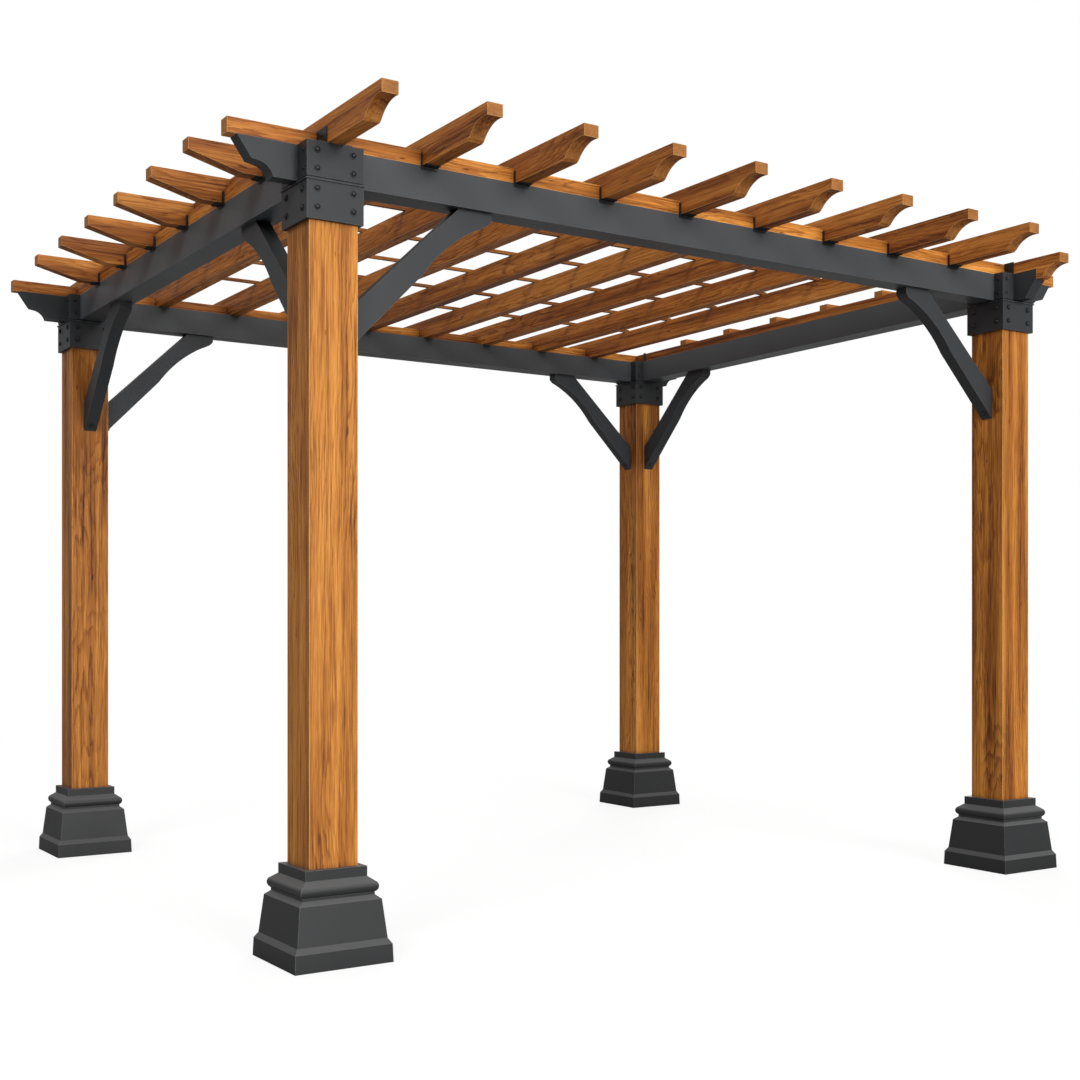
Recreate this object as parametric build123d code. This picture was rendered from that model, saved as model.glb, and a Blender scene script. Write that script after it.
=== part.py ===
"""Open garden pergola: four boxed cedar posts on square dark plinths, a dark beam frame on
bolted post brackets, curved knee braces and a flat roof of cedar rafters with shaped tails.

Millimetres, Z up. The ground is Z = 0 and the origin is midway between the four posts.
X runs along the long beams, and the front looks towards -Y.
"""
import os

from build123d import *

# Layout
post_spacing_x = 2900.0
post_spacing_y = 2350.0
post_side = 150.0

# Plinth profile, from the ground up
plinth_foot_side = 301.0
plinth_foot_top_side = 297.0
plinth_foot_height = 52.0
plinth_block_bottom_side = 276.0
plinth_block_top_side = 252.0
plinth_block_bottom = 68.0
plinth_block_top = 178.0
plinth_neck_side = 222.0
plinth_neck_bottom = 190.0
plinth_neck_top = 198.0
plinth_roll_side = 240.0
plinth_roll_top = 226.0
plinth_roll_top_side = 231.0
plinth_collar_bottom = 241.0
plinth_collar_side = 190.0
plinth_height = 270.0

# Beam frame
beam_underside = 2203.0
beam_height = 102.0
beam_width = 90.0

# Post brackets: a sleeve below the beams and a collar beside them
bracket_plate = 12.5
bracket_sleeve_height = 116.0
bracket_seam_height = 5.0
bracket_seam_depth = 4.0

# Shaped ends of the long beams, and the short cut ends of the right-hand beam
beam_end_thickness = 50.0
beam_end_reach = 180.0
beam_end_slant_run = 42.0
beam_end_slant_drop = 60.0
beam_end_shoulder_run = 25.0
beam_end_shoulder_drop = 4.0
beam_end_cove_run = 40.0
cut_end_reach = 105.0
cut_end_slant_run = 53.0

# Knee braces
knee_thickness = 50.0
knee_reach = 475.0
knee_drop = 455.0
knee_inner_reach = 360.0
knee_inner_drop = 342.0
knee_tip_height = 38.0
knee_nose = 14.0
knee_curve_start_x = 235.0
knee_curve_start_z = 217.0

# Rafters, front to back
rafter_count = 10
rafter_thickness = 50.0
rafter_depth = 80.0
rafter_overhang = 420.0
tail_tip_height = 36.0
tail_cove_run = 100.0
tail_step_run = 10.0
tail_step_height = 6.0
low_rafter_cover = 42.0
low_rafter_overhang = 300.0
low_tail_cove_run = 78.0

# Side tails, left and right
side_tail_count = 8
side_tail_reach = 285.0
side_tail_thickness = 48.0
side_tail_tip_height = 36.0
side_tail_taper_run = 170.0

# Low boards on the beams
low_board_height = 44.0
low_board_thickness = 44.0
corner_board_reach = 295.0

# Battens across the rafters
batten_width = 16.0
batten_thickness = 12.0

# How far a curved cut bows in, as a part of its chord
tail_bow = 0.14
knee_bow = 0.07

# Worked-out places
beam_top = beam_underside + beam_height
rafter_top = beam_top + rafter_depth
low_rafter_top = beam_top + low_rafter_cover
low_rafter_belly = low_rafter_top - rafter_depth
post_x = post_spacing_x / 2
post_y = post_spacing_y / 2
bracket_side = post_side + 2 * bracket_plate
bracket_bottom = beam_underside - bracket_sleeve_height
rafter_pitch = post_spacing_x / (rafter_count - 1)
side_tail_pitch = post_spacing_y / (side_tail_count - 1)
face_x = post_x - bracket_side / 2
face_y = post_y - bracket_side / 2

CORNERS = {
    "front_left": (-1, -1),
    "front_right": (1, -1),
    "back_left": (-1, 1),
    "back_right": (1, 1),
}
CORNER_WITH_ONE_KNEE = "front_right"


def block(x0, x1, y0, y1, z0, z1):
    """A box between two corners."""
    size = Box(x1 - x0, y1 - y0, z1 - z0)
    return Pos((x0 + x1) / 2, (y0 + y1) / 2, (z0 + z1) / 2) * size


def across_x(edges, thickness):
    """A closed outline drawn in Y and Z, as thick as asked in X and centred on X = 0."""
    return extrude(Plane.YZ * make_face(edges), amount=thickness / 2, both=True)


def across_y(edges, thickness):
    """A closed outline drawn in X and Z, as thick as asked in Y and centred on Y = 0."""
    return extrude(Plane.XZ * make_face(edges), amount=thickness / 2, both=True)


def straight(points):
    """Straight lines through the points, closed back to the first."""
    return [Line(a, b) for a, b in zip(points, points[1:] + points[:1])]


def post(sx, sy):
    """A square post from the ground to the top of the beams."""
    half = post_side / 2
    x = sx * post_x
    y = sy * post_y
    return block(x - half, x + half, y - half, y + half, 0, beam_top)


def plinth_section():
    """The moulded side of a plinth as one symmetrical outline."""
    foot = plinth_foot_side / 2
    foot_top = plinth_foot_top_side / 2
    block_low = plinth_block_bottom_side / 2
    block_high = plinth_block_top_side / 2
    neck = plinth_neck_side / 2
    roll = plinth_roll_side / 2
    roll_top = plinth_roll_top_side / 2
    collar = plinth_collar_side / 2
    roll_middle = (plinth_neck_top + plinth_roll_top) / 2
    right = [
        (foot, 0),
        (foot_top, plinth_foot_height),
        (block_low, plinth_block_bottom),
        (block_high, plinth_block_top),
        (neck, plinth_neck_bottom),
        (neck, plinth_neck_top),
    ]
    edges = [Line(a, b) for a, b in zip(right[:-1], right[1:])]
    edges.append(ThreePointArc(right[-1], (roll, roll_middle), (roll_top, plinth_roll_top)))
    edges.append(Line((roll_top, plinth_roll_top), (collar, plinth_collar_bottom)))
    edges.append(Line((collar, plinth_collar_bottom), (collar, plinth_height)))
    half = Wire(edges)
    mirrored = half.mirror(Plane.YZ)
    floor = Line((-foot, 0), (foot, 0))
    rim = Line((-collar, plinth_height), (collar, plinth_height))
    return make_face(half.edges() + mirrored.edges() + [floor, rim])


def plinth(sx, sy):
    """A square moulded plinth round the foot of a post."""
    section = plinth_section()
    width = plinth_foot_side
    along_y = extrude(Plane.XZ * section, amount=width, both=True)
    along_x = extrude(Plane.YZ * section, amount=width, both=True)
    half = post_side / 2
    solid = (along_x & along_y) - block(-half, half, -half, half, 0, plinth_height)
    return Pos(sx * post_x, sy * post_y, 0) * solid


def post_bracket(sx, sy):
    """A plated sleeve round the head of a post, with a seam at the underside of the beams."""
    outer = bracket_side / 2
    inner = post_side / 2
    groove = outer - bracket_seam_depth
    seam_low = beam_underside - bracket_seam_height / 2
    seam_high = beam_underside + bracket_seam_height / 2
    sleeve = block(-outer, outer, -outer, outer, bracket_bottom, beam_top)
    ring = block(-outer, outer, -outer, outer, seam_low, seam_high)
    ring -= block(-groove, groove, -groove, groove, seam_low, seam_high)
    solid = sleeve - ring
    solid -= block(-inner, inner, -inner, inner, bracket_bottom, beam_top)
    return Pos(sx * post_x, sy * post_y, 0) * solid


def long_beam(sy):
    """A front or back beam between two post brackets."""
    y = sy * post_y
    half = beam_width / 2
    return block(-face_x, face_x, y - half, y + half, beam_underside, beam_top)


def side_beam(sx):
    """A left or right beam between two post brackets."""
    x = sx * post_x
    half = beam_width / 2
    return block(x - half, x + half, -face_y, face_y, beam_underside, beam_top)


def beam_end(sx, sy):
    """The shaped end of a long beam: a slant, a shoulder, a hollow curve and a flat."""
    root = post_x + bracket_side / 2
    tip = root + beam_end_reach
    slant = (tip - beam_end_slant_run, beam_top - beam_end_slant_drop)
    shoulder = (slant[0] - beam_end_shoulder_run, slant[1] - beam_end_shoulder_drop)
    flat = (shoulder[0] - beam_end_cove_run, beam_underside)
    edges = [
        Line((root, beam_top), (tip, beam_top)),
        Line((tip, beam_top), slant),
        Line(slant, shoulder),
        hollow(shoulder, flat, tail_bow),
        Line(flat, (root, beam_underside)),
        Line((root, beam_underside), (root, beam_top)),
    ]
    solid = across_y(edges, beam_end_thickness)
    if sx < 0:
        solid = solid.mirror(Plane.YZ)
    return Pos(0, sy * post_y, 0) * solid


def hollow(start, end, bow):
    """A concave arc of a curved cut: it bows up and inwards from the chord."""
    middle_x = (start[0] + end[0]) / 2
    middle_z = (start[1] + end[1]) / 2
    run = start[0] - end[0]
    fall = start[1] - end[1]
    through = (middle_x - bow * fall, middle_z + bow * run)
    return ThreePointArc(start, through, end)


def cut_end(sy):
    """The plain cut end of the right-hand beam, outside its post bracket."""
    root = post_y + bracket_side / 2
    tip = root + cut_end_reach
    low_tip = tip - cut_end_slant_run
    points = [
        (root, beam_top),
        (tip, beam_top),
        (tip, low_rafter_belly),
        (low_tip, beam_underside),
        (root, beam_underside),
    ]
    solid = across_x(straight(points), beam_end_thickness)
    if sy < 0:
        solid = solid.mirror(Plane.XZ)
    return Pos(post_x, 0, 0) * solid


def knee_outline():
    """A knee brace seen from the side: out from the post, and down from the beam."""
    foot_top = (0, -knee_inner_drop)
    curve_start = (knee_curve_start_x, -knee_curve_start_z)
    tip_front = (knee_reach, knee_nose - knee_tip_height)
    tip_low = (knee_reach - knee_nose, -knee_tip_height)
    return [
        Line((knee_inner_reach, 0), (knee_reach, 0)),
        Line((knee_reach, 0), tip_front),
        Line(tip_front, tip_low),
        hollow(tip_low, curve_start, knee_bow),
        Line(curve_start, (0, -knee_drop)),
        Line((0, -knee_drop), foot_top),
        Line(foot_top, (knee_inner_reach, 0)),
    ]


def knee_along_x(sx, sy):
    """A knee brace between a post and a long beam."""
    solid = across_y(knee_outline(), knee_thickness)
    if sx > 0:
        solid = solid.mirror(Plane.YZ)
    return Pos(sx * (post_x - post_side / 2), sy * post_y, beam_underside) * solid


def knee_along_y(sx, sy):
    """A knee brace between a post and a side beam."""
    solid = across_x(knee_outline(), knee_thickness)
    if sy > 0:
        solid = solid.mirror(Plane.XZ)
    return Pos(sx * post_x, sy * (post_y - post_side / 2), beam_underside) * solid


def tail_edges(tip, top, belly, cove_run):
    """The lower edge of a rafter tail, from its tip in to the belly, out along +Y."""
    cove_start = (tip, top - tail_tip_height)
    cove_end = (tip - cove_run, belly + tail_step_height)
    step_end = (cove_end[0] - tail_step_run, belly)
    return [
        Line((tip, top), cove_start),
        hollow(cove_start, cove_end, tail_bow),
        Line(cove_end, step_end),
    ]


def rafter(index):
    """A full rafter, with the same shaped tail at the front and at the back."""
    x = -post_x + index * rafter_pitch
    tip = post_y + rafter_overhang
    tail = tail_edges(tip, rafter_top, beam_top, tail_cove_run)
    belly_end = tail[-1] @ 1
    half = Wire(tail)
    edges = half.edges() + half.mirror(Plane.YZ).edges()
    edges.append(Line((-tip, rafter_top), (tip, rafter_top)))
    edges.append(Line((-belly_end.X, beam_top), (belly_end.X, beam_top)))
    return Pos(x, 0, 0) * across_x(edges, rafter_thickness)


def low_rafter():
    """The last rafter: it sits lower, and its tails hook over the cut ends of the beam."""
    tip = post_y + low_rafter_overhang
    hook = post_y + bracket_side / 2 + cut_end_reach
    tail = tail_edges(tip, low_rafter_top, low_rafter_belly, low_tail_cove_run)
    belly_end = tail[-1] @ 1
    inner = [
        Line((belly_end.X, low_rafter_belly), (hook, low_rafter_belly)),
        Line((hook, low_rafter_belly), (hook, beam_top)),
    ]
    half = Wire(tail + inner)
    edges = half.edges() + half.mirror(Plane.YZ).edges()
    edges.append(Line((-tip, low_rafter_top), (tip, low_rafter_top)))
    edges.append(Line((-hook, beam_top), (hook, beam_top)))
    return Pos(post_x, 0, 0) * across_x(edges, rafter_thickness)


def side_tail(sx, row):
    """A short tail outside a side beam: a long slant underneath, and a flat belly."""
    y = -post_y + row * side_tail_pitch
    root = post_x + rafter_thickness / 2
    tip = post_x + side_tail_reach
    points = [
        (root, beam_top),
        (tip - side_tail_taper_run, beam_top),
        (tip, rafter_top - side_tail_tip_height),
        (tip, rafter_top),
        (root, rafter_top),
    ]
    solid = across_y(straight(points), side_tail_thickness)
    if sx < 0:
        solid = solid.mirror(Plane.YZ)
    return Pos(0, y, 0) * solid


def corner_board(sx, sy):
    """The low board that lies on a shaped beam end and reaches past its tip."""
    x0 = sx * (post_x + rafter_thickness / 2)
    x1 = sx * (post_x + corner_board_reach)
    half = low_board_thickness / 2
    y = sy * post_y
    return block(min(x0, x1), max(x0, x1), y - half, y + half, beam_top, beam_top + low_board_height)


def long_low_boards(sy):
    """Low boards on a front or back beam, one in each gap between the rafters."""
    outer = sy * (post_y + beam_width / 2)
    inner = outer - sy * low_board_thickness
    boards = []
    for index in range(rafter_count - 1):
        start = -post_x + index * rafter_pitch + rafter_thickness / 2
        end = start + rafter_pitch - rafter_thickness
        low = min(outer, inner)
        high = max(outer, inner)
        boards.append(block(start, end, low, high, beam_top, beam_top + low_board_height))
    return boards


def side_low_boards(sx):
    """Low boards on a side beam, one in each gap between the side tails."""
    inner = sx * (post_x + rafter_thickness / 2)
    outer = sx * (post_x + beam_width / 2)
    boards = []
    for row in range(side_tail_count - 1):
        start = -post_y + row * side_tail_pitch + side_tail_thickness / 2
        end = start + side_tail_pitch - side_tail_thickness
        low = min(outer, inner)
        high = max(outer, inner)
        boards.append(block(low, high, start, end, beam_top, beam_top + low_board_height))
    return boards


def batten(row):
    """A thin batten across the tops of the full rafters."""
    y = -post_y + row * side_tail_pitch
    half = batten_width / 2
    end = post_x - rafter_pitch
    return block(-post_x, end, y - half, y + half, rafter_top, rafter_top + batten_thickness)


def group(solids):
    """Several separate solids kept together as one named piece."""
    return Compound(children=list(solids))


def build():
    """Every named piece of the pergola."""
    pieces = {}
    for name, (sx, sy) in CORNERS.items():
        pieces[f"{name}_post"] = post(sx, sy)
        pieces[f"{name}_plinth"] = plinth(sx, sy)
        pieces[f"{name}_post_bracket"] = post_bracket(sx, sy)
        front_or_back, left_or_right = name.split("_")
        pieces[f"{front_or_back}_beam_{left_or_right}_knee"] = knee_along_x(sx, sy)
        if name != CORNER_WITH_ONE_KNEE:
            pieces[f"{left_or_right}_beam_{front_or_back}_knee"] = knee_along_y(sx, sy)
    for name, sy in (("front", -1), ("back", 1)):
        pieces[f"{name}_beam"] = long_beam(sy)
        pieces[f"{name}_beam_ends"] = group(beam_end(sx, sy) for sx in (-1, 1))
        pieces[f"{name}_low_boards"] = group(long_low_boards(sy))
    for name, sx in (("left", -1), ("right", 1)):
        rows = range(1, side_tail_count - 1)
        tails = [side_tail(sx, row) for row in rows]
        corners = [corner_board(sx, sy) for sy in (-1, 1)]
        pieces[f"{name}_beam"] = side_beam(sx)
        pieces[f"{name}_side_tails"] = group(tails + corners)
        pieces[f"{name}_low_boards"] = group(side_low_boards(sx))
    pieces["right_beam_cut_ends"] = group(cut_end(sy) for sy in (-1, 1))
    for index in range(rafter_count - 1):
        pieces[f"rafter_{index + 1}"] = rafter(index)
    pieces[f"rafter_{rafter_count}"] = low_rafter()
    battens = (batten(row) for row in range(1, side_tail_count - 1))
    pieces["roof_battens"] = group(battens)
    return pieces


os.makedirs("parts", exist_ok=True)
for node, shape in build().items():
    export_step(shape, f"parts/{node}.step")
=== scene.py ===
# %% [markdown]
# # A cedar pergola, dressed in cells
# A pergola is an open garden roof: four posts, a ring of beams, and rafters laid across them.
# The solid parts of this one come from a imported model, loaded here as a fixed frame in metres.
# This script adds what the eye looks for next: stained wood, painted steel, bolts and clips.

# %% Load the frame
import math

import bmesh
import bpy
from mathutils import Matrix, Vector


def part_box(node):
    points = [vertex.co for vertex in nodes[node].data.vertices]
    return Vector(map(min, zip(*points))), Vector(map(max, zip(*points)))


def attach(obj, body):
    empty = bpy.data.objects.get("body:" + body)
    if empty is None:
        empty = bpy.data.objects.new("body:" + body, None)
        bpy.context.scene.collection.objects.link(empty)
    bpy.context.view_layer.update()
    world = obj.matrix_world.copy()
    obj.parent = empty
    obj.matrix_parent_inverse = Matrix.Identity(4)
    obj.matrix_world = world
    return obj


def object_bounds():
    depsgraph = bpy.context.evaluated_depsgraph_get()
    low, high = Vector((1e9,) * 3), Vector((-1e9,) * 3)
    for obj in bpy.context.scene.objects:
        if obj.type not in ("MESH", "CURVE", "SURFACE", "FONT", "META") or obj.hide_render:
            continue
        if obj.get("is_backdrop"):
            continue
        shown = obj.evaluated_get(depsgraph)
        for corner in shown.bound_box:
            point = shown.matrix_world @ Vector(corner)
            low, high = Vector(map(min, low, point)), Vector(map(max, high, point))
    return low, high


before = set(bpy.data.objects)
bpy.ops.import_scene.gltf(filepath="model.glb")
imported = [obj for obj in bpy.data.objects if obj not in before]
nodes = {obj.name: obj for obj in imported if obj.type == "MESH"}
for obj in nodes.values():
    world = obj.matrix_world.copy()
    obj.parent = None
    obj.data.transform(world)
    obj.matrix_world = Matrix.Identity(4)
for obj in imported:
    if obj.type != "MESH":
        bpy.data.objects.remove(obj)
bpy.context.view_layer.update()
scene = bpy.context.scene
print("pieces in the frame:", len(nodes))

# %% [markdown]
# ## Camera
# The pergola is seen from its front left corner, from about waist height. The camera is level,
# so the posts stay upright in the picture, as in a photograph of a building. The lens shift
# then moves the picture up or down without tilting anything.


# %% Camera
def add_object(name, data):
    """A new object that holds the data, linked to the scene so that it shows."""
    made = bpy.data.objects.new(name, data)
    scene.collection.objects.link(made)
    return made


camera_data = bpy.data.cameras.new("camera")
camera = add_object("camera", camera_data)
camera.location = (-3.241, -5.059, 0.9735)
camera.rotation_euler = (math.pi / 2, 0.0, -0.578)
camera_data.sensor_width = 36.0
camera_data.lens = 49.34
camera_data.shift_y = 0.0721
scene.camera = camera
print("camera at", [round(v, 2) for v in camera.location], "lens", camera_data.lens)

# %% [markdown]
# ## Node trees in short lines
# The finishes, the studio's white light and the bolts are all made by trees of small nodes.
# The first helper makes one node, sets its choices, and fills its sockets: a socket of another
# node becomes a link, and a plain value becomes a default. The others are single steps that
# the trees below take again and again.


# %% Helpers for node trees
def put(tree, kind, sockets=(), **choices):
    """A node of this kind, with its choices set and its sockets filled by name or number."""
    node = tree.nodes.new(kind)
    for choice, value in choices.items():
        setattr(node, choice, value)
    for key, value in dict(sockets).items():
        if isinstance(value, bpy.types.NodeSocket):
            tree.links.new(value, node.inputs[key])
        else:
            node.inputs[key].default_value = value
    return node


def maths(tree, operation, *values):
    """The number that a Math node makes from the values."""
    return put(tree, "ShaderNodeMath", enumerate(values), operation=operation).outputs[0]


def vectors(tree, operation, *values):
    """What a Vector Math node makes from the values."""
    return put(tree, "ShaderNodeVectorMath", enumerate(values), operation=operation).outputs


def spread(tree, value, from_low, from_high, to_low, to_high):
    """A number moved from one range to another, and kept inside it."""
    sockets = {0: value, 1: from_low, 2: from_high, 3: to_low, 4: to_high}
    return put(tree, "ShaderNodeMapRange", sockets).outputs[0]


def grain(tree, place, scale, detail=2.0, roughness=0.5):
    """A soft random number and a random colour for each place, each from 0 to 1."""
    sockets = {"Vector": place, "Scale": scale, "Detail": detail, "Roughness": roughness}
    return put(tree, "ShaderNodeTexNoise", sockets).outputs


def ramp(tree, value, stops):
    """A colour for each number, blended between (position, colour) stops."""
    node = put(tree, "ShaderNodeValToRGB", {0: value})
    elements = node.color_ramp.elements
    for position, _ in stops[1:-1]:
        elements.new(position)
    for element, (position, colour) in zip(elements, stops):
        element.position = position
        element.color = (*colour, 1.0)
    return node.outputs[0]


def blend(tree, colour, strength, other, way="MIX"):
    """One colour mixed with another. The numbers are the colour sockets of a Mix node."""
    sockets = {0: strength, 6: colour, 7: other}
    return put(tree, "ShaderNodeMix", sockets, data_type="RGBA", blend_type=way).outputs[2]


print("helpers ready")

# %% [markdown]
# ## Studio light
# Large soft lamps suit wood and dull paint, because a small lamp would leave hard spots on them.
# The main one stands far out in front, so the front faces are the bright ones. One high on the
# left lifts the left faces a little, and one behind on the right draws the far edges. The world
# adds an even light from all sides, and shows itself to the camera as plain white.

# %% Lamps and world
scene.view_settings.view_transform = "Standard"
WHITE = (1.0, 1.0, 1.0, 1.0)
world_strength = 0.42


def lamp(name, place, target, size, power):
    """A square lamp that looks at a point."""
    data = bpy.data.lights.new(name, "AREA")
    data.shape = "SQUARE"
    data.size = size
    data.energy = power
    made = add_object(name, data)
    made.location = place
    aim = Vector(target) - Vector(place)
    made.rotation_euler = aim.to_track_quat("-Z", "Y").to_euler()


def seen_apart(tree, lit, seen, end):
    """Lets the lamps' light meet one shader while the camera sees another."""
    by_camera = put(tree, "ShaderNodeLightPath").outputs["Is Camera Ray"]
    both = put(tree, "ShaderNodeMixShader", {0: by_camera, 1: lit, 2: seen})
    tree.links.new(both.outputs[0], tree.nodes[end].inputs["Surface"])


lamp("front_lamp", (0.3, -20.0, 4.5), (0.0, 0.0, 1.5), size=8.0, power=2550.0)
lamp("high_lamp", (-8.5, -6.5, 9.5), (0.0, 0.0, 1.6), size=4.0, power=410.0)
lamp("back_lamp", (10.0, 10.0, 5.5), (0.0, 0.0, 1.5), size=5.0, power=700.0)

world = bpy.data.worlds.new("studio")
scene.world = world
world.use_nodes = True
world_tree = world.node_tree
even_light = world_tree.nodes["Background"]
even_light.inputs["Color"].default_value = WHITE
even_light.inputs["Strength"].default_value = world_strength
plain_white = put(world_tree, "ShaderNodeBackground", {"Color": WHITE, "Strength": 1.0})
seen_apart(world_tree, even_light.outputs[0], plain_white.outputs[0], "World Output")

# %% [markdown]
# ## Floor
# A plain floor catches the shadow of the pergola, so it stands and doesn't float. The camera
# sees the floor mostly as its own white light, with a little of the lamps' light left in it:
# that keeps the page white, and the shadows soft and pale. Further out it fades to plain white.

# %% Floor
floor_half = 40.0
page_strength = 0.82
page_grey = (0.26, 0.26, 0.26, 1.0)
floor_grey = (0.35, 0.35, 0.35, 1.0)
fade_start, fade_end = 2.5, 7.0
CORNERS = [(-1, -1), (1, -1), (1, 1), (-1, 1)]


def new_look(name, shine):
    """A new material, its tree and its main shader, with how strongly it mirrors."""
    look = bpy.data.materials.new(name)
    look.use_nodes = True
    shader = look.node_tree.nodes["Principled BSDF"]
    shader.inputs["Specular IOR Level"].default_value = shine
    return look, look.node_tree, shader


floor_mesh = bpy.data.meshes.new("floor")
floor_mesh.from_pydata([(x * floor_half, y * floor_half, 0.0) for x, y in CORNERS], [], [range(4)])
floor = add_object("floor", floor_mesh)
floor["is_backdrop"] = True

floor_look, floor_tree, floor_shader = new_look("pale_floor", shine=0.0)
floor_shader.inputs["Base Color"].default_value = floor_grey
floor_shader.inputs["Roughness"].default_value = 1.0
glow = put(floor_tree, "ShaderNodeEmission", {"Color": WHITE, "Strength": page_strength})
shaded = put(floor_tree, "ShaderNodeBsdfDiffuse", {"Color": page_grey})
near_page = put(floor_tree, "ShaderNodeAddShader", {0: glow.outputs[0], 1: shaded.outputs[0]})
far_page = put(floor_tree, "ShaderNodeEmission", {"Color": WHITE, "Strength": 1.0})
floor_place = put(floor_tree, "ShaderNodeTexCoord").outputs["Object"]
away = vectors(floor_tree, "LENGTH", floor_place)["Value"]
fade = spread(floor_tree, away, fade_start, fade_end, 0.0, 1.0)
page_sockets = {0: fade, 1: near_page.outputs[0], 2: far_page.outputs[0]}
page = put(floor_tree, "ShaderNodeMixShader", page_sockets)
seen_apart(floor_tree, floor_shader.outputs[0], page.outputs[0], "Material Output")
floor_mesh.materials.append(floor_look)
print("floor is", 2 * floor_half, "m across")

# %% [markdown]
# ## Edges and corners
# Two marks are painted where a shape changes: a painted highlight along each edge, and
# painted shade in each corner. A Bevel node finds the edges, because its rounded normal differs
# there from the true one. An Ambient Occlusion node finds the corners, because other surfaces
# are close by.

# %% Edge and crease masks
sharp_edge, flat_face = 0.80, 0.995
deep_corner, open_face = 0.15, 0.75


# This mask places the painted highlight along edges.
def edge_mask(tree, radius, strength):
    """A number that is above zero only along the edges of a shape."""
    true_normal = put(tree, "ShaderNodeNewGeometry").outputs["Normal"]
    rounded = put(tree, "ShaderNodeBevel", {"Radius": radius}, samples=6).outputs[0]
    alike = vectors(tree, "DOT_PRODUCT", true_normal, rounded)["Value"]
    return spread(tree, alike, sharp_edge, flat_face, strength, 0.0)


# This mask places the painted shade in corners and creases.
def crease_shade_mask(tree, reach, strength):
    """A number that is above zero only where other surfaces are within reach."""
    near = put(tree, "ShaderNodeAmbientOcclusion", {"Distance": reach}, samples=6)
    return spread(tree, near.outputs["AO"], deep_corner, open_face, strength, 0.0)


def dress(tree, shader, colour, roughness, relief, bump_strength, bump_height):
    """Gives the main shader its colour, its roughness and its fine relief."""
    sockets = {"Strength": bump_strength, "Distance": bump_height, "Height": relief}
    bump = put(tree, "ShaderNodeBump", sockets)
    tree.links.new(colour, shader.inputs["Base Color"])
    tree.links.new(roughness, shader.inputs["Roughness"])
    tree.links.new(bump.outputs[0], shader.inputs["Normal"])


print("an edge is full below", sharp_edge, "and none above", flat_face)

# %% [markdown]
# ## Stained cedar
# A board is a slice of a trunk, so its grain is rings round a middle line, cut lengthwise. The
# pattern here is made the same way: each board gets its own middle line, which wanders a little
# along the board, and the distance to it gives the rings. Where a face runs nearly along a
# ring, the rings open into long arches, as on a real sawn face. Fine fibres, dark streaks and
# broad bands of tone lie over them, all drawn out along the board.

# %% The grain of one board
cedar_tones = [
    (0.0, (0.050, 0.015, 0.004)),
    (0.28, (0.180, 0.053, 0.009)),
    (0.52, (0.400, 0.136, 0.020)),
    (0.76, (0.650, 0.256, 0.043)),
    (1.0, (0.880, 0.415, 0.090)),
]
ring_shades = [(0.0, (1.0,) * 3), (0.55, (0.75,) * 3), (0.86, (0.0,) * 3), (1.0, (0.9,) * 3)]
rings_per_metre = 80.0
ring_waviness = 0.055
ring_average = 0.75
middle_width, wander_width = 0.18, 0.24
middle_tone = 0.42
fibre_relief, ring_relief = 0.6, 0.3
noise_shift = (37.0, 53.0, 71.0)
HALF = (0.5, 0.5, 0.5)


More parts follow.
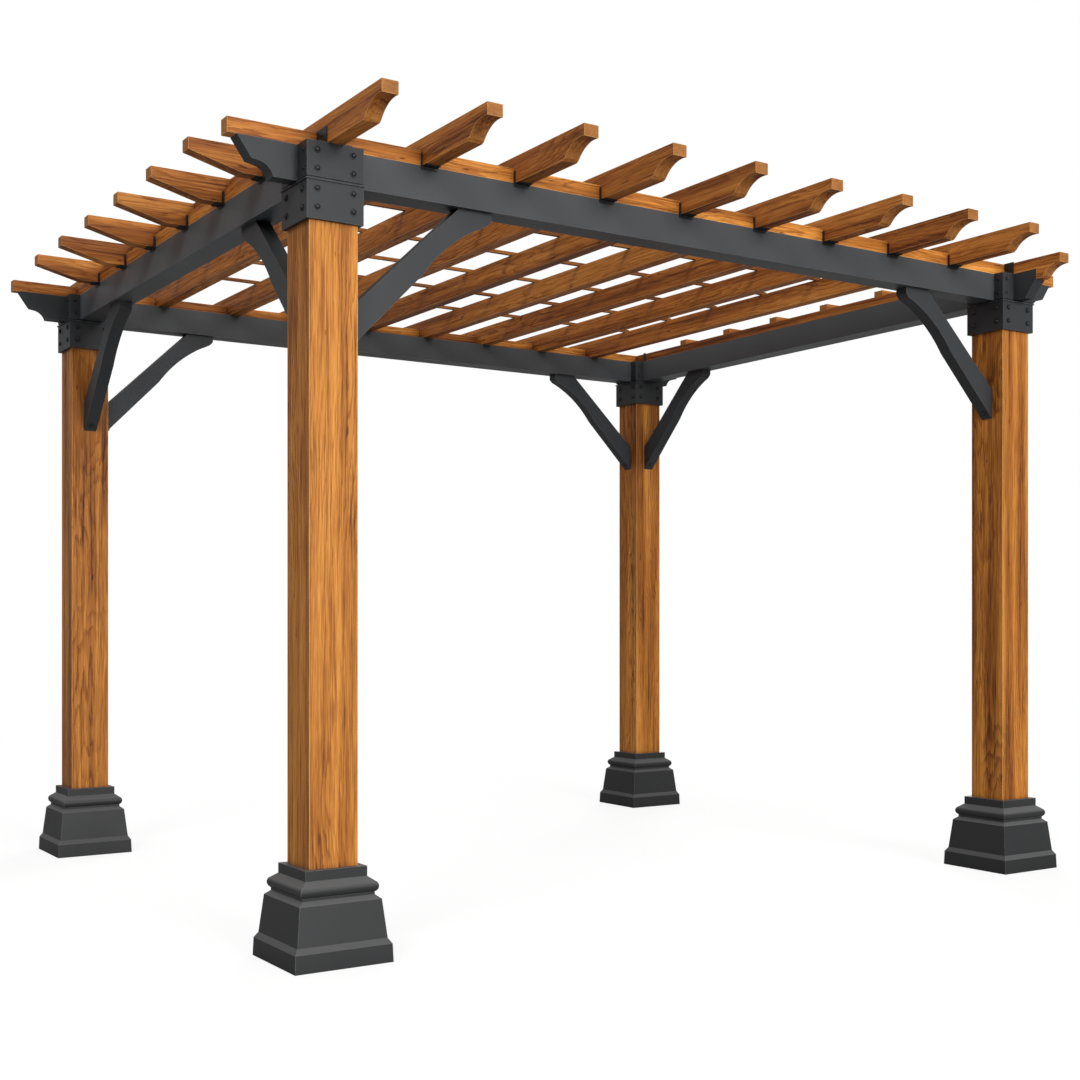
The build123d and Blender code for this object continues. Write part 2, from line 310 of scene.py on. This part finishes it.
def cedar_group():
    """A node group: a place in a board and the board's chance numbers give colour and relief."""
    group = bpy.data.node_groups.new("cedar_grain", "ShaderNodeTree")
    sockets = group.interface
    for name, in_out, kind in (
        ("Place", "INPUT", "Vector"),
        ("Chance", "INPUT", "Vector"),
        ("Colour", "OUTPUT", "Color"),
        ("Relief", "OUTPUT", "Float"),
    ):
        sockets.new_socket(name, in_out=in_out, socket_type=f"NodeSocket{kind}")
    given = group.nodes.new("NodeGroupInput").outputs
    result = group.nodes.new("NodeGroupOutput").inputs
    place = given["Place"]
    own = vectors(group, "MULTIPLY", given["Chance"], noise_shift)[0]

    def drawn_out(across, along, detail, roughness=0.5):
        """Noise that runs along the board, from the board's own stretch of it."""
        stretched = vectors(group, "MULTIPLY_ADD", place, (across, across, along), own)[0]
        return grain(group, stretched, 1.0, detail, roughness)

    def off_centre(chance, width):
        """Chance numbers as a step to the side, up to half the width."""
        step = vectors(group, "SUBTRACT", chance, HALF)[0]
        return vectors(group, "MULTIPLY", step, (width, width, 0.0))[0]

    middle = off_centre(given["Chance"], middle_width)
    bends = drawn_out(across=0.0, along=0.9, detail=2.0)["Color"]
    wander = off_centre(bends, wander_width)
    offset = vectors(group, "MULTIPLY", place, (1.0, 1.0, 0.0))[0]
    for step in (middle, wander):
        offset = vectors(group, "SUBTRACT", offset, step)[0]
    radius = vectors(group, "LENGTH", offset)["Value"]
    ripple = drawn_out(across=22.0, along=3.0, detail=4.0, roughness=0.6)[0]
    radius = maths(group, "MULTIPLY_ADD", ripple, ring_waviness, radius)
    turns = maths(group, "FRACT", maths(group, "MULTIPLY", radius, rings_per_metre))
    ring = ramp(group, turns, ring_shades)
    fading = drawn_out(across=9.0, along=1.4, detail=2.0)[0]
    ring_depth = spread(group, fading, 0.40, 0.66, 0.02, 0.32)

    fibre = drawn_out(across=260.0, along=9.0, detail=3.0, roughness=0.6)[0]
    band = drawn_out(across=17.0, along=0.6, detail=3.0)[0]
    streak = drawn_out(across=85.0, along=2.2, detail=5.0, roughness=0.65)[0]
    fleck = drawn_out(across=60.0, along=14.0, detail=1.0)[0]
    tone = maths(group, "SUBTRACT", ring, ring_average)
    tone = maths(group, "MULTIPLY_ADD", tone, ring_depth, middle_tone)
    for noise, from_low, from_high, tone_low, tone_high in (
        (fibre, 0.3, 0.7, -0.14, 0.14),
        (band, 0.3, 0.7, -0.16, 0.34),
        (streak, 0.52, 0.70, 0.08, -0.24),
        (fleck, 0.74, 0.80, 0.0, -0.35),
    ):
        share = spread(group, noise, from_low, from_high, tone_low, tone_high)
        tone = maths(group, "ADD", tone, share)
    group.links.new(ramp(group, tone, cedar_tones), result["Colour"])
    raised = maths(group, "MULTIPLY", fibre, fibre_relief)
    relief = maths(group, "MULTIPLY_ADD", ring, ring_relief, raised)
    group.links.new(relief, result["Relief"])
    return group


cedar_grain = cedar_group()
print("grain group:", len(cedar_grain.nodes), "nodes")

# %% [markdown]
# The same group serves every board, whichever way it runs. Space is cut into cells, one board
# to a cell, and the number of the cell picks that board's chance numbers: its own middle line,
# its own stretch of noise, and a tone a little lighter or darker than its neighbour's.

# %% Cedar that runs one way
AXES = {"x": (1, 2, 0), "y": (0, 2, 1), "z": (0, 1, 2)}
sawn_end = (0.36, 0.155, 0.042, 1.0)
edge_highlight_wood = (0.90, 0.50, 0.18, 1.0)
shaded_wood = (0.12, 0.05, 0.02, 1.0)
sawn_end_share = 0.65
edge_reach = 0.0045
wood_crease_reach = 0.09
wood_crease_shade = 0.8
rough_wood, smooth_wood = 0.62, 0.44


def cedar(name, along, cells, centre, depth=0.90, variety=0.08, hue=0.495, edge=0.5):
    """Stained cedar whose grain runs along one axis. cells gives the size of a board's cell in
    X, Y and Z, centre the middle of one of the boards, depth how light the stain is, variety
    how far one board's stain is from the next one's, hue how yellow it is, and edge how strong
    the painted highlight along its edges is."""
    look, tree, shader = new_look(name, shine=0.2)
    place = put(tree, "ShaderNodeTexCoord").outputs["Object"]
    moved = vectors(tree, "SUBTRACT", place, centre)[0]
    counted = vectors(tree, "DIVIDE", moved, cells)[0]
    number = vectors(tree, "FLOOR", vectors(tree, "ADD", counted, HALF)[0])[0]
    cell_middle = vectors(tree, "MULTIPLY", number, cells)[0]
    local = vectors(tree, "SUBTRACT", moved, cell_middle)[0]
    chance = put(tree, "ShaderNodeTexWhiteNoise", {"Vector": number}).outputs
    parts = put(tree, "ShaderNodeSeparateXYZ", {0: local}).outputs
    swapped = {i: parts[axis] for i, axis in enumerate(AXES[along])}
    turned = put(tree, "ShaderNodeCombineXYZ", swapped).outputs[0]
    wood = put(tree, "ShaderNodeGroup", node_tree=cedar_grain)
    tree.links.new(turned, wood.inputs["Place"])
    tree.links.new(chance["Color"], wood.inputs["Chance"])
    relief = wood.outputs["Relief"]

    tones = depth * (1.0 - variety), depth * (1.0 + variety)
    sockets = {
        "Color": wood.outputs["Colour"],
        "Value": spread(tree, chance["Value"], 0.0, 1.0, *tones),
        "Hue": hue,
    }
    colour = put(tree, "ShaderNodeHueSaturation", sockets).outputs[0]
    normal = put(tree, "ShaderNodeTexCoord").outputs["Normal"]
    faces = put(tree, "ShaderNodeSeparateXYZ", {0: normal}).outputs
    end_face = maths(tree, "ABSOLUTE", faces[along.upper()])
    end_face = spread(tree, end_face, 0.3, 0.8, 0.0, sawn_end_share)
    colour = blend(tree, colour, end_face, sawn_end)
    # Edges are painted lighter: a painted highlight along them.
    colour = blend(tree, colour, edge_mask(tree, edge_reach, edge), edge_highlight_wood)
    # Corners near other surfaces are painted darker: painted shade.
    crease_shade = crease_shade_mask(tree, wood_crease_reach, wood_crease_shade)
    colour = blend(tree, colour, crease_shade, shaded_wood, "MULTIPLY")
    roughness = spread(tree, relief, 0.2, 0.8, rough_wood, smooth_wood)
    dress(tree, shader, colour, roughness, relief, bump_strength=0.35, bump_height=0.0012)
    return look


print("sawn ends are", sawn_end[:3])

# %% [markdown]
# The cells have to match the boards, so their sizes are read from the frame: the step from one
# rafter to the next, and the step from one side tail to the next. The posts are far apart, so
# they get wide cells, counted from one cell further on to pick other chance numbers.

# %% Cedar for each run of boards
NO_CUT = 100.0
post_cell = 2.0
tail_rows = 8
low_board_rise = 0.022

first_low, first_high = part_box("rafter_1")
rafter_centre = (first_low + first_high) / 2
rafter_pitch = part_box("rafter_2")[0].x - first_low.x
post_low, post_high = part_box("front_left_post")
post_centre = (post_low + post_high) / 2
post_span_x, post_span_y = -2 * post_centre.x, -2 * post_centre.y
tail_pitch = post_span_y / (tail_rows - 1)
low_board_z = post_high.z + low_board_rise

post_cells = (post_cell, post_cell, NO_CUT)
post_middle = (post_centre.x + post_cell, post_centre.y + post_cell, 0)
rafter_cells = (rafter_pitch, NO_CUT, NO_CUT)
tail_cells = (post_span_x, tail_pitch, NO_CUT)
tail_middle = (post_centre.x, post_centre.y, rafter_centre.z)
long_cells = (rafter_pitch, post_span_y, NO_CUT)
long_middle = (rafter_centre.x + rafter_pitch / 2, post_centre.y, low_board_z)
side_middle = (post_centre.x, post_centre.y + tail_pitch / 2, low_board_z)
batten_cells = (NO_CUT, tail_pitch, NO_CUT)
batten_middle = (0, post_centre.y, rafter_centre.z)

cedar_post = cedar(
    "cedar_post", "z", post_cells, post_middle, depth=1.02, variety=0.02, hue=0.5, edge=0.9,
)
cedar_rafter = cedar("cedar_rafter", "y", rafter_cells, rafter_centre)
cedar_side_tail = cedar("cedar_side_tail", "x", tail_cells, tail_middle)
cedar_long_board = cedar(
    "cedar_long_board", "x", long_cells, long_middle, depth=1.12, variety=0.06, hue=0.5,
)
cedar_side_board = cedar("cedar_side_board", "y", tail_cells, side_middle)
# The battens are stained half as light, with a faint edge highlight: painted shade, as they are
# seen from below in the gaps of the roof.
cedar_batten_shaded = cedar("cedar_batten_shaded", "x", batten_cells, batten_middle, depth=0.50, edge=0.1)
print("rafters every", round(rafter_pitch, 3), "m, side tails every", round(tail_pitch, 3), "m")

# %% [markdown]
# ## Charcoal powder coat
# The beams, brackets, knees and plinths are coated in a dull charcoal paint, baked on as
# powder. It has a very fine pebbled surface. Its edges carry a painted highlight, broken into
# patches like rubbed paint, its corners carry painted shade, and faces that point up are
# painted lighter, as painted light from above.

# %% Charcoal coats
top_light_grey = (0.17, 0.17, 0.17, 1.0)
shaded_coat = (0.05, 0.06, 0.07, 1.0)
coat_crease_reach = 0.14
coat_variety = 0.05
faintest_edge_patch = 0.45
smooth_coat, rough_coat = 0.40, 0.50


def charcoal(name, colour, edge_highlight_colour, edge=0.003, shine=0.25, crease_shade=0.9, top_light=0.0):
    """A dull charcoal coat. edge is how far its painted edge highlight reaches, shine how strongly
    the coat mirrors, and the last two how dark the painted shade in its corners is and how much
    painted light from above lifts the faces that point up."""
    look, tree, shader = new_look(name, shine)
    place = put(tree, "ShaderNodeTexCoord").outputs["Object"]
    cloud = grain(tree, place, scale=3.0, detail=3.0)[0]
    pebble = grain(tree, place, scale=700.0)[0]
    edge_patches = grain(tree, place, scale=35.0, detail=4.0, roughness=0.65)[0]
    darker = [c * (1.0 - coat_variety) for c in colour]
    lighter = [c * (1.0 + coat_variety) for c in colour]
    coat = ramp(tree, cloud, [(0.3, darker), (0.7, lighter)])
    # Edges are painted lighter in patches: a painted highlight, broken up like rubbed paint.
    patchy = spread(tree, edge_patches, 0.35, 0.6, faintest_edge_patch, 1.0)
    edge_highlight_and_wear = maths(tree, "MULTIPLY", edge_mask(tree, edge, 1.0), patchy)
    coat = blend(tree, coat, edge_highlight_and_wear, (*edge_highlight_colour, 1.0))
    # Faces that point up are painted lighter: painted light from above.
    normal = put(tree, "ShaderNodeTexCoord").outputs["Normal"]
    upward = put(tree, "ShaderNodeSeparateXYZ", {0: normal}).outputs["Z"]
    coat = blend(tree, coat, spread(tree, upward, 0.2, 0.7, 0.0, top_light), top_light_grey)
    # Corners are painted darker: painted shade.
    corner_shade = crease_shade_mask(tree, coat_crease_reach, crease_shade)
    coat = blend(tree, coat, corner_shade, shaded_coat, "MULTIPLY")
    roughness = spread(tree, cloud, 0.3, 0.7, smooth_coat, rough_coat)
    dress(tree, shader, coat, roughness, pebble, bump_strength=0.2, bump_height=0.0004)
    return look


charcoal_steel = charcoal("charcoal_steel", (0.037, 0.040, 0.043), (0.12, 0.123, 0.128))
# The beams take lighter copies of the steel coat, the side beams the lightest: painted light.
charcoal_beam_lit = charcoal("charcoal_beam_lit", (0.063, 0.067, 0.071), (0.14, 0.143, 0.148))
charcoal_side_beam_lit = charcoal("charcoal_side_beam_lit", (0.084, 0.092, 0.100), (0.17, 0.176, 0.184))
charcoal_knee = charcoal("charcoal_knee", (0.042, 0.046, 0.050), (0.17, 0.135, 0.105))
charcoal_plinth = charcoal(
    "charcoal_plinth", (0.029, 0.030, 0.031), (0.16, 0.16, 0.16),
    edge=0.0035, shine=0.3, crease_shade=0.5, top_light=0.65,
)
charcoal_bolt = charcoal(
    "charcoal_bolt", (0.010, 0.010, 0.011), (0.022, 0.022, 0.024), edge=0.001, shine=0.45,
)
print("coats:", [look.name for look in bpy.data.materials if look.name.startswith("charcoal")])

# %% [markdown]
# ## Every solid part gets its finish
# The parts keep their shapes, and only their material slots change. The end of a part's name
# says what it is, and so which finish it gets and which way its boards run.

# %% Assign the finishes
finishes = {
    "_post": cedar_post,
    "_plinth": charcoal_plinth,
    "_beam": charcoal_beam_lit,
    "_knee": charcoal_knee,
    "left_beam": charcoal_side_beam_lit,
    "right_beam": charcoal_side_beam_lit,
    "_side_tails": cedar_side_tail,
    "front_low_boards": cedar_long_board,
    "back_low_boards": cedar_long_board,
    "left_low_boards": cedar_side_board,
    "right_low_boards": cedar_side_board,
    "roof_battens": cedar_batten_shaded,
}
for name, part in nodes.items():
    finish = cedar_rafter if name.startswith("rafter_") else charcoal_steel
    for ending, chosen in finishes.items():
        if name.endswith(ending):
            finish = chosen
    for slot in part.material_slots:
        slot.material = finish
    if not part.material_slots:
        part.data.materials.append(finish)
print("parts finished:", len(nodes))

# %% [markdown]
# ## Bolts
# Domed bolts hold the post brackets, on the four faces of the lower plates and round the beams
# on the upper ones. They all have one shape, so Geometry Nodes makes one head and puts a copy
# at each point of a small mesh. Each point carries the copy's turn and its size.


# %% How a tree of copies starts and ends
def copies_tree(name, numbers, finish):
    """A geometry tree with named inputs for its sizes and its material."""
    tree = bpy.data.node_groups.new(name, "GeometryNodeTree")
    sockets = tree.interface
    sockets.new_socket("Geometry", in_out="INPUT", socket_type="NodeSocketGeometry")
    sockets.new_socket("Geometry", in_out="OUTPUT", socket_type="NodeSocketGeometry")
    for label, value in numbers.items():
        made = sockets.new_socket(label, in_out="INPUT", socket_type="NodeSocketFloat")
        made.default_value = value
    made = sockets.new_socket("Finish", in_out="INPUT", socket_type="NodeSocketMaterial")
    made.default_value = finish
    return tree, tree.nodes.new("NodeGroupInput").outputs


def joined(tree, shapes):
    """One shape made of several."""
    join = put(tree, "GeometryNodeJoinGeometry")
    for shape in shapes:
        tree.links.new(shape, join.inputs[0])
    return join.outputs[0]


def end_with_copies(tree, given, shape):
    """Puts a copy of the shape on every point, makes the copies real and finishes them."""
    turn = put(tree, "GeometryNodeInputNamedAttribute", {"Name": "turn"}, data_type="FLOAT_VECTOR")
    size = put(tree, "GeometryNodeInputNamedAttribute", {"Name": "size"}, data_type="FLOAT")
    rotation = put(tree, "FunctionNodeEulerToRotation", {0: turn.outputs[0]}).outputs[0]
    sockets = {"Points": given["Geometry"], "Instance": shape, "Rotation": rotation}
    placed = put(tree, "GeometryNodeInstanceOnPoints", sockets)
    tree.links.new(size.outputs[0], placed.inputs["Scale"])
    real = put(tree, "GeometryNodeRealizeInstances", {0: placed.outputs[0]}).outputs[0]
    sockets = {"Geometry": real, "Material": given["Finish"]}
    finished = put(tree, "GeometryNodeSetMaterial", sockets)
    result = tree.nodes.new("NodeGroupOutput")
    tree.links.new(finished.outputs[0], result.inputs[0])


print("every copy takes its turn and size from its point")

# %% [markdown]
# A bolt head is a thin washer with a flattened ball on it. The ball's lower half is sunk in the
# washer and in the plate behind it, where it doesn't show.

# %% The bolt head
bolt_sizes = {
    "Dome radius": 0.0078,
    "Dome height": 0.0052,
    "Washer radius": 0.0100,
    "Washer thickness": 0.0022,
}
bolt_sides = 20


def moved(tree, shape, x=0.0, y=0.0, z=0.0, **sockets):
    """A shape moved, and scaled where the sockets say so."""
    step = put(tree, "ShaderNodeCombineXYZ", {0: x, 1: y, 2: z}).outputs[0]
    sockets = {"Geometry": shape, "Translation": step, **sockets}
    return put(tree, "GeometryNodeTransform", sockets).outputs[0]


def bolt_tree():
    """A washer with a dome on it, on every point."""
    tree, given = copies_tree("bolt_heads", bolt_sizes, charcoal_bolt)
    thickness = given["Washer thickness"]
    sockets = {"Vertices": bolt_sides, "Radius": given["Washer radius"], "Depth": thickness}
    washer = put(tree, "GeometryNodeMeshCylinder", sockets).outputs[0]
    washer = moved(tree, washer, z=maths(tree, "MULTIPLY", thickness, 0.5))
    sockets = {"Segments": bolt_sides, "Rings": bolt_sides // 2, "Radius": given["Dome radius"]}
    ball = put(tree, "GeometryNodeMeshUVSphere", sockets).outputs[0]
    flat = maths(tree, "DIVIDE", given["Dome height"], given["Dome radius"])
    squeeze = put(tree, "ShaderNodeCombineXYZ", {0: 1.0, 1: 1.0, 2: flat}).outputs[0]
    dome = moved(tree, ball, z=thickness, Scale=squeeze)
    smooth = put(tree, "GeometryNodeSetShadeSmooth", {"Geometry": dome}).outputs[0]
    end_with_copies(tree, given, joined(tree, (washer, smooth)))
    return tree


heads = bolt_tree()
print("bolt tree:", len(heads.nodes), "nodes")

# %% [markdown]
# The modifier's result is turned into a plain mesh, so nothing live is left on a piece. Every
# piece then rides on the part's one body.


# %% Grow copies on points
def ride_along(piece):
    """Lets a piece move with the part."""
    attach(piece, "root")


def grow(name, points, tree):
    """A plain mesh of what the tree makes on points of (place, turn, size)."""
    mesh = bpy.data.meshes.new(name)
    mesh.from_pydata([place for place, _, _ in points], [], [])
    turns = mesh.attributes.new("turn", "FLOAT_VECTOR", "POINT")
    turns.data.foreach_set("vector", [angle for _, turn, _ in points for angle in turn])
    sizes = mesh.attributes.new("size", "FLOAT", "POINT")
    sizes.data.foreach_set("value", [size for _, _, size in points])
    made = add_object(name, mesh)
    made.modifiers.new("grown", "NODES").node_group = tree
    graph = bpy.context.evaluated_depsgraph_get()
    grown = bpy.data.meshes.new_from_object(made.evaluated_get(graph))
    made.modifiers.clear()
    made.data = grown
    grown.name = name
    for label in ("turn", "size"):
        if label in grown.attributes:
            grown.attributes.remove(grown.attributes[label])
    ride_along(made)
    print(name, "copies:", len(points), "faces:", len(grown.polygons))


print("copies are grown on points of (place, turn, size)")

# %% [markdown]
# The bracket's own box gives every place. The lower plates have two rows of two bolts on each
# face. On the upper plates, a face that carries a beam has a narrow strip each side of it, with
# two small bolts one above the other, and a free face has four large ones again.

# %% Bolts on the post brackets
SIDES = {"left": -1, "right": 1, "front": -1, "back": 1}
corner_names = [f"{a}_{b}" for a in ("front", "back") for b in ("left", "right")]
bracket_low, bracket_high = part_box("front_left_post_bracket")
plate_half = (bracket_high.x - bracket_low.x) / 2
bracket_top = bracket_high.z
beam_low, beam_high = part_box("front_beam")
post_x, post_y = abs(post_centre.x), abs(post_centre.y)
edge_inset = 0.032
strip_middle = 0.067
large_bolt, small_bolt = 1.0, 0.62
lower_rows = (bracket_low.z + 0.034, beam_low.z - 0.030)
upper_rows = (beam_low.z + 0.026, bracket_top - 0.024)


def facing(way):
    """The turn that points a bolt head along a direction."""
    return Vector(way).to_track_quat("Z", "Y").to_euler()


def signs(corner):
    """Which side of the middle a corner is on, along X and along Y."""
    front_back, left_right = corner.split("_")
    return SIDES[left_right], SIDES[front_back]


def bracket_bolts(corner):
    """The bolts of one post bracket as (place, turn, size)."""
    sx, sy = signs(corner)
    points = []
    for way in ((1, 0), (-1, 0), (0, 1), (0, -1)):
        across = Vector((-way[1], way[0], 0))
        out = Vector((*way, 0))
        face = Vector((sx * post_x, sy * post_y, 0)) + out * plate_half
        reach = plate_half - edge_inset
        free = way == (0, sy) and corner.endswith("left")
        upper = (reach, large_bolt) if free else (strip_middle, small_bolt)
        rows = [(z, reach, large_bolt) for z in lower_rows] + [(z, *upper) for z in upper_rows]
        for side in (-1, 1):
            for z, row_reach, size in rows:
                place = face + across * side * row_reach + Vector((0, 0, z))
                points.append((place, facing(out), size))
    return points


for corner in corner_names:
    grow(f"{corner}_bracket_bolts", bracket_bolts(corner), heads)

# %% [markdown]
# Each knee brace is fixed by one bolt near its foot, on the slanting lower face. The foot is
# read from the knee's own box: it is the lowest edge, on the side of the post.

# %% Bolts at the feet of the knees
foot_step = 0.030
knee_slope = math.radians(45.0)
knee_bolt = 0.9


def knee_foot(knee, way):
    """The middle of a knee's lowest edge, where way points from the post along the beam."""
    low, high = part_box(knee)
    foot = (low + high) / 2
    foot.z = low.z
    if way.x:
        foot.x = low.x if way.x > 0 else high.x
    else:
        foot.y = low.y if way.y > 0 else high.y
    return foot


knee_bolts = []
for corner in corner_names:
    front_back, left_right = corner.split("_")
    sx, sy = signs(corner)
    for knee, way in (
        (f"{front_back}_beam_{left_right}_knee", Vector((-sx, 0, 0))),
        (f"{left_right}_beam_{front_back}_knee", Vector((0, -sy, 0))),
    ):
        if knee not in nodes:
            continue
        rise = way * math.cos(knee_slope) + Vector((0, 0, math.sin(knee_slope)))
        out = way * math.sin(knee_slope) - Vector((0, 0, math.cos(knee_slope)))
        place = knee_foot(knee, way) + rise * foot_step
        knee_bolts.append((place, facing(out), knee_bolt))
grow("knee_bolts", knee_bolts, heads)

# %% [markdown]
# ## Lips on the post brackets
# Each bracket is made of a lower and an upper set of plates. The lower set ends in a thin lip
# that stands a little proud, so the seam shows as a fine light line with a dark slot above it.
# A lip is a square outline bridged to the next one, four times round.


# %% Lips
def bridge(shape, first, second):
    """Faces between two outlines of the same number of corners."""
    for i in range(len(first)):
        after = (i + 1) % len(first)
        shape.faces.new((first[i], first[after], second[after], second[i]))


def plate_piece(name, shape, finish):
    """A piece from a finished shape, with its faces turned outwards."""
    bmesh.ops.recalc_face_normals(shape, faces=shape.faces)
    mesh = bpy.data.meshes.new(name)
    shape.to_mesh(mesh)
    shape.free()
    mesh.materials.append(finish)
    ride_along(add_object(name, mesh))


def square_ring(name, centre, outer, inner, bottom, top):
    """A flat square ring round a centre, given by half widths."""
    shape = bmesh.new()
    loops = []
    for half, z in ((outer, bottom), (outer, top), (inner, top), (inner, bottom)):
        places = [(centre.x + x * half, centre.y + y * half, z) for x, y in CORNERS]
        loops.append([shape.verts.new(place) for place in places])
    for first, second in zip(loops, loops[1:] + loops[:1]):
        bridge(shape, first, second)
    plate_piece(name, shape, charcoal_steel)


seam_gap = 0.0035
lip_height = 0.0035
lip_out = 0.0040
lip_in = 0.0020
lip_top = beam_low.z - seam_gap
lip_bottom = lip_top - lip_height
lip_outer, lip_inner = plate_half + lip_out, plate_half - lip_in
for corner in corner_names:
    low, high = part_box(f"{corner}_post_bracket")
    centre = (low + high) / 2
    square_ring(f"{corner}_bracket_lip", centre, lip_outer, lip_inner, lip_bottom, lip_top)
print("lips:", len(corner_names), "at", round(lip_top, 3), "m")

# %% [markdown]
# ## Clips under the boards
# Folded steel clips hold the rafters and side tails where they cross a beam. Each is a seat
# under the board, a short leg down the beam's face, and an ear up each side of the board. They
# take the darkest coat, and their seats and ears also stand in for the contact shadow under and
# beside each board, as painted shade. They repeat along all four beams, so one Geometry Nodes
# tree makes them from named sizes.

# %% A tree of folded clips
clip_sizes = {
    "Board width": 0.050,
    "Plate": 0.003,
    "Seat depth": 0.026,
    "Leg": 0.011,
    "Ear height": 0.036,
    "Ear depth": 0.008,
}


def slab(tree, *ranges):
    """A box between a low and a high number along X, Y and Z."""
    sums = [maths(tree, "ADD", low, high) for low, high in ranges]
    middles = [maths(tree, "MULTIPLY", total, 0.5) for total in sums]
    widths = [maths(tree, "SUBTRACT", high, low) for low, high in ranges]
    size = put(tree, "ShaderNodeCombineXYZ", enumerate(widths)).outputs[0]
    cube = put(tree, "GeometryNodeMeshCube", {"Size": size}).outputs[0]
    return moved(tree, cube, *middles)


def clip_tree():
    """A folded clip on every point: out of the beam along X, with the board's width along Y."""
    tree, given = copies_tree("folded_clips_and_shade", clip_sizes, charcoal_bolt)
    plate = given["Plate"]
    half = maths(tree, "MULTIPLY", given["Board width"], 0.5)
    back = maths(tree, "MULTIPLY", half, -1.0)
    under = maths(tree, "MULTIPLY", plate, -1.0)
    leg_end = maths(tree, "MULTIPLY", given["Leg"], -1.0)
    far = maths(tree, "ADD", half, plate)
    near = maths(tree, "SUBTRACT", back, plate)
    seat = slab(tree, (0.0, given["Seat depth"]), (back, half), (under, 0.0))
    leg = slab(tree, (0.0, plate), (near, far), (leg_end, 0.0))
    ears = [
        slab(tree, (0.0, given["Ear depth"]), across, (under, given["Ear height"]))
        for across in ((half, far), (near, back))
    ]
    end_with_copies(tree, given, joined(tree, (seat, leg, *ears)))
    return tree


clips = clip_tree()
print("clip tree:", len(clips.nodes), "nodes")

# %% [markdown]
# The rafters between the posts get a clip at the front and at the back, and so do the side
# tails on the left and on the right. A clip's turn is about the upright axis only.

# %% Clips along the beams
rafters_between = 8
left_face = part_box("left_beam")[0].x
front_face, beam_top = beam_low.y, beam_high.z
CLIP_TURNS = {
    "front": (0, 0, -math.pi / 2),
    "back": (0, 0, math.pi / 2),
    "left": (0, 0, math.pi),
    "right": (0, 0, 0),
}

rafter_clips_and_shade = []
for index in range(1, rafters_between + 1):
    x = rafter_centre.x + index * rafter_pitch
    rafter_clips_and_shade.append(((x, front_face, beam_top), CLIP_TURNS["front"], 1.0))
    rafter_clips_and_shade.append(((x, -front_face, beam_top), CLIP_TURNS["back"], 1.0))
tail_clips_and_shade = []
for row in range(1, tail_rows - 1):
    y = post_centre.y + row * tail_pitch
    tail_clips_and_shade.append(((left_face, y, beam_top), CLIP_TURNS["left"], 1.0))
    tail_clips_and_shade.append(((-left_face, y, beam_top), CLIP_TURNS["right"], 1.0))
# These dark clips also stand in for the contact shadow under and beside each board: painted shade.
grow("rafter_clips_and_shade", rafter_clips_and_shade, clips)
grow("tail_clips_and_shade", tail_clips_and_shade, clips)

# %% [markdown]
# ## Angles at the corners
# Over each post, upright steel angles hold the end rafter to the top of the bracket. An angle
# is an L-shaped outline, drawn at both ends of its length and bridged between them.

# %% A folded angle
angle_plate = 0.003
angle_height = 0.046
angle_foot = 0.026


def folded_angle(name, face, out, length):
    """An angle that stands on the bracket against a face, with its foot to the outside."""
    plate, toe = face + out * angle_plate, face + out * angle_foot
    fold, tip = bracket_top + angle_plate, bracket_top + angle_height
    foot = [(face, bracket_top), (toe, bracket_top), (toe, fold)]
    outline = [*foot, (plate, fold), (plate, tip), (face, tip)]
    shape = bmesh.new()
    ends = [[shape.verts.new((x, y, z)) for x, z in outline] for y in length]
    bridge(shape, *ends)
    for end in ends:
        shape.faces.new(end)
    plate_piece(name, shape, charcoal_bolt)


print("angles are", angle_height, "m high")

# %% [markdown]
# Two angles stand outside the low board at each post, one each side of the rafter, with a bolt
# through each. A narrow one stands inside, at the inner corner of the bracket.

# %% Corner angles
inside_length = 0.016
board_half = 0.022
angle_bolt = 0.5
angle_bolt_rise = 0.6 * angle_height
rafter_half = (first_high.x - first_low.x) / 2
outside_start, outside_end = post_y + board_half, post_y + plate_half
inside_start = post_y - plate_half
angle_bolts = []
for corner in corner_names:
    sx, sy = signs(corner)
    for side in (-1, 1):
        face = sx * post_x + side * rafter_half
        length = sorted((sy * outside_start, sy * outside_end))
        label = "outer" if side == sx else "inner"
        folded_angle(f"{corner}_angle_{label}", face, side, length)
        middle = sum(length) / 2
        place = (face + side * angle_plate, middle, bracket_top + angle_bolt_rise)
        angle_bolts.append((place, facing((side, 0, 0)), angle_bolt))
    length = sorted((sy * inside_start, sy * (inside_start + inside_length)))
    folded_angle(f"{corner}_angle_inside", sx * (post_x - rafter_half), -sx, length)
grow("angle_bolts", angle_bolts, heads)

# %% Finish
low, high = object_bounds()
print("model box:", [round(v, 3) for v in (*low, *high)])
